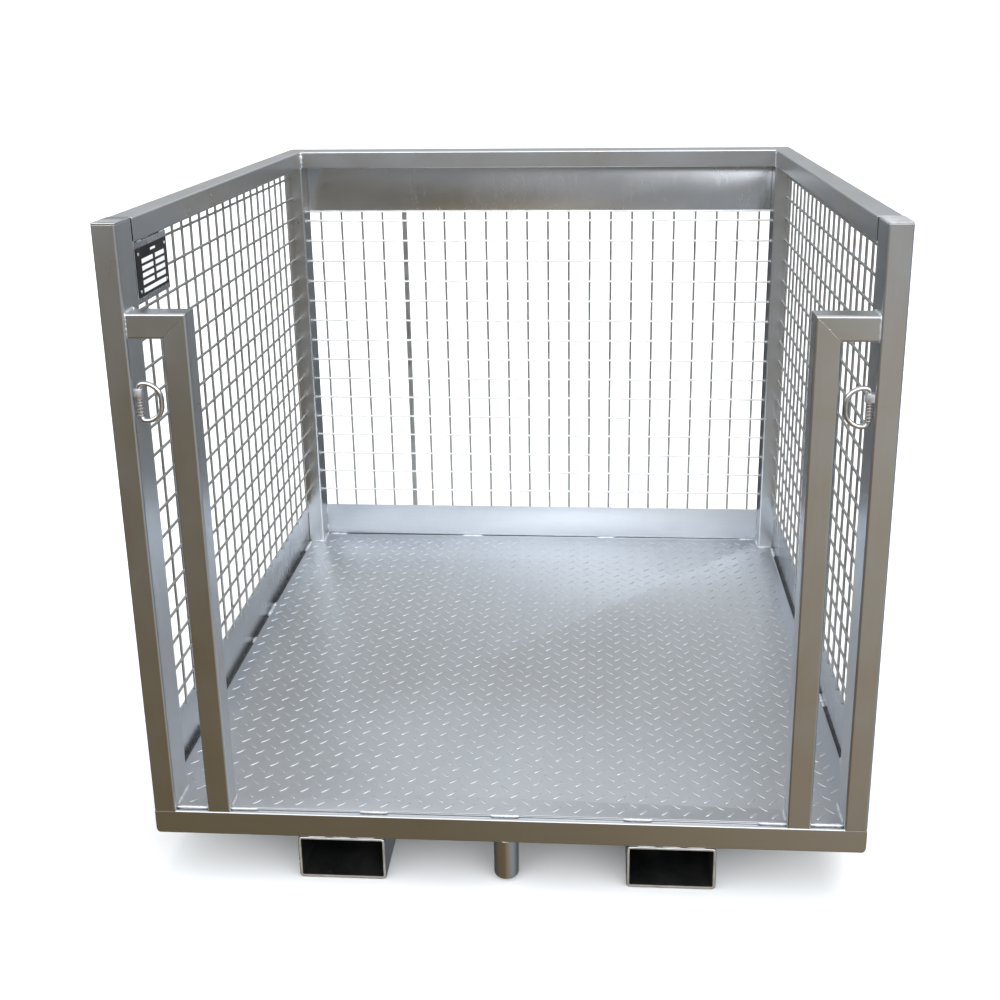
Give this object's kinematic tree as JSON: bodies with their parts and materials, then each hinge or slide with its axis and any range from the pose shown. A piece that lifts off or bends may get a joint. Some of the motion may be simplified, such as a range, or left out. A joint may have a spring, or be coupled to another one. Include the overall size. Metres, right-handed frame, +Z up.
{
  "type": "fork truck goods cage",
  "caption": "Open-front steel goods cage with mesh sides, tread plate floor, fork pockets and swinging lashing rings.",
  "frame": {"origin": "centre of the footprint, on the ground under the fork pockets", "axes": "+X to the right across the open front, -Y out of the open front, +Z up"},
  "size_m": [1.2, 1.2, 1.13],
  "materials": {
    "zinc_tube": "zinc-plated steel tube, satin with a faint spangle",
    "zinc_plate": "zinc-plated steel plate, satin",
    "tread_plate": "zinc-plated tread plate, bright on the raised bars",
    "mesh_wire": "zinc-plated drawn wire",
    "ring_steel": "bright zinc-plated forged bar",
    "spring_steel": "plated spring wire",
    "label_black": "black enamel with blank pale fields",
    "rivet_head": "plain rivet heads"
  },
  "bodies": {
    "cage": {"base_front_rail": "zinc_tube", "base_rear_rail": "zinc_tube", "base_left_rail": "zinc_tube", "base_right_rail": "zinc_tube", "floor_bearer_front": "zinc_tube", "floor_bearer_middle": "zinc_tube", "floor_bearer_rear": "zinc_tube", "fork_pocket_left": "zinc_tube", "fork_pocket_right": "zinc_tube", "floor_plate": "tread_plate", "clamp_post": "zinc_tube", "clamp_post_cap": "zinc_tube", "front_left_post": "zinc_tube", "front_right_post": "zinc_tube", "front_left_post_cap": "zinc_plate", "front_right_post_cap": "zinc_plate", "rear_left_post": "zinc_tube", "rear_right_post": "zinc_tube", "left_top_rail": "zinc_tube", "right_top_rail": "zinc_tube", "left_top_rail_cap": "zinc_plate", "right_top_rail_cap": "zinc_plate", "rear_top_rail": "zinc_tube", "left_guard_upright": "zinc_tube", "left_guard_rail": "zinc_tube", "right_guard_upright": "zinc_tube", "right_guard_rail": "zinc_tube", "left_kick_plate": "zinc_plate", "right_kick_plate": "zinc_plate", "rear_kick_plate": "zinc_plate", "rear_head_plate": "zinc_plate", "left_mesh": "mesh_wire", "right_mesh": "mesh_wire", "rear_mesh": "mesh_wire", "left_ring_sleeve": "ring_steel", "right_ring_sleeve": "ring_steel", "left_ring_spring": "spring_steel", "right_ring_spring": "spring_steel", "label_backing": "zinc_plate", "label_plate": "label_black", "label_rivet_1": "rivet_head", "label_rivet_2": "rivet_head", "label_rivet_3": "rivet_head", "label_rivet_4": "rivet_head"},
    "left_ring": {"left_lashing_ring": "ring_steel"},
    "right_ring": {"right_lashing_ring": "ring_steel"}
  },
  "joints": [
    {"name": "left_ring_swing", "type": "hinge", "parent": "cage", "child": "left_ring", "pos_m": [-0.5555, -0.59, 0.851], "axis": [0, 0, 1], "range_deg": [-90, 90]},
    {"name": "right_ring_swing", "type": "hinge", "parent": "cage", "child": "right_ring", "pos_m": [0.5555, -0.59, 0.851], "axis": [0, 0, 1], "range_deg": [-90, 90]}
  ]
}
